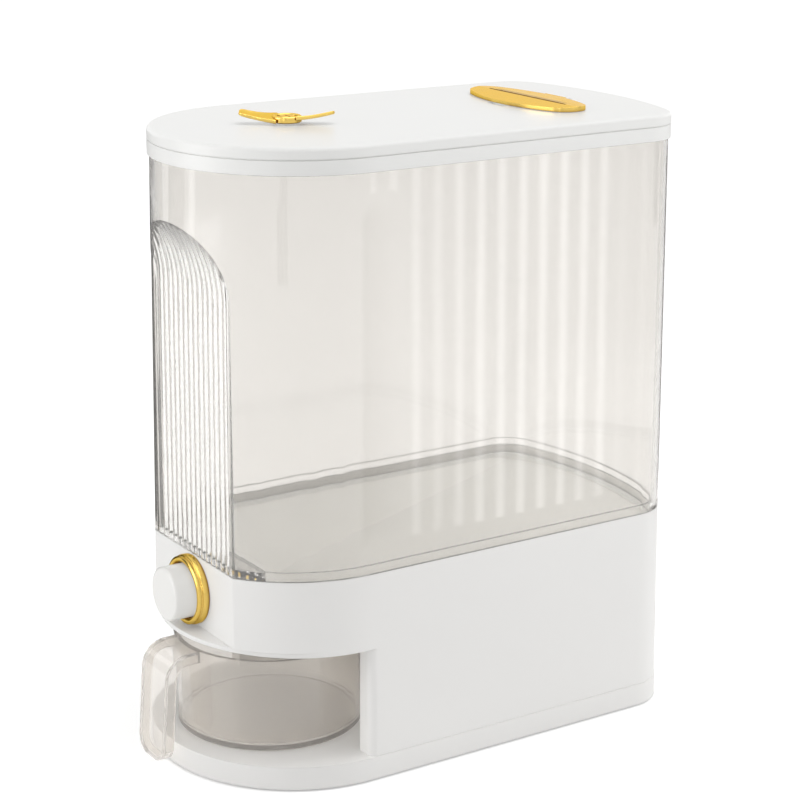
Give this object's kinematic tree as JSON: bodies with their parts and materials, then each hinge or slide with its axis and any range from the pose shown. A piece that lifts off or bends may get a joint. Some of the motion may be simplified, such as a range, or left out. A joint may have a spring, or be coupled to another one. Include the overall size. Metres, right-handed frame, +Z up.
{
  "type": "rice dispenser",
  "caption": "Tall round-fronted grain dispenser: clear hopper on a white base with a push button over an open cup bay, loose cup, white lid with a turning knob and a hinged flap.",
  "frame": {"origin": "middle of the whole object's footprint box, on the table surface", "axes": "-Y is the front with the button and the cup, +Y the back, +X the right side seen from behind the cup, +Z up"},
  "size_m": [0.158, 0.305, 0.3486],
  "materials": {
    "body_white": "satin moulded ABS",
    "lid_white": "satin moulded ABS",
    "button_white": "smooth moulded ABS",
    "inner_white": "moulded polypropylene",
    "clear_hopper": "clear polished styrene",
    "clear_cup": "clear polished styrene",
    "gold": "gold plated",
    "steel": "stainless",
    "rubber_grey": "moulded silicone",
    "seal_white": "moulded silicone, milky"
  },
  "bodies": {
    "base": {"base_plate": "body_white", "rubber_feet": "rubber_grey", "base_screws": "steel", "lower_housing": "body_white", "funnel": "inner_white", "funnel_screws": "steel", "hopper_seal": "seal_white", "hopper": "clear_hopper", "gate_track": "inner_white", "track_screws": "steel", "outlet_chute": "inner_white", "gate_seal": "seal_white", "button_bezel": "gold", "button_holder": "inner_white", "return_spring": "steel"},
    "button": {"button_cap": "button_white", "push_rod": "inner_white", "rod_clip": "steel", "gate_slide": "inner_white"},
    "lid": {"lid_frame": "lid_white", "lid_gasket": "seal_white", "lid_cover": "lid_white", "lid_inner": "inner_white", "lid_screws": "steel", "knob_washer": "inner_white", "moisture_box": "inner_white", "hinge_pin": "steel"},
    "knob": {"wing_knob": "gold", "knob_screw": "gold", "knob_shaft": "inner_white", "vent_shutter": "inner_white"},
    "flap": {"moisture_flap": "gold"},
    "cup": {"measuring_cup": "clear_cup"}
  },
  "joints": [
    {"name": "button_push", "type": "slide", "parent": "base", "child": "button", "axis": [0, 1, 0], "range_m": [0, 0.011], "stiffness_N_per_m": 300, "springref_m": -0.006, "deforming": ["return_spring"]},
    {"name": "lid_lift", "type": "slide", "parent": "base", "child": "lid", "axis": [0, 0, 1], "range_m": [0, 0.08]},
    {"name": "knob_turn", "type": "hinge", "parent": "lid", "child": "knob", "pos_m": [0, -0.0655, 0.3423], "axis": [0, 0, 1], "range_deg": [0, 60]},
    {"name": "flap_open", "type": "hinge", "parent": "lid", "child": "flap", "pos_m": [0, 0.1089, 0.3416], "axis": [-1, 0, 0], "range_deg": [0, 95]},
    {"name": "cup_pull", "type": "slide", "parent": "base", "child": "cup", "axis": [0, -1, 0], "range_m": [0, 0.12]}
  ]
}
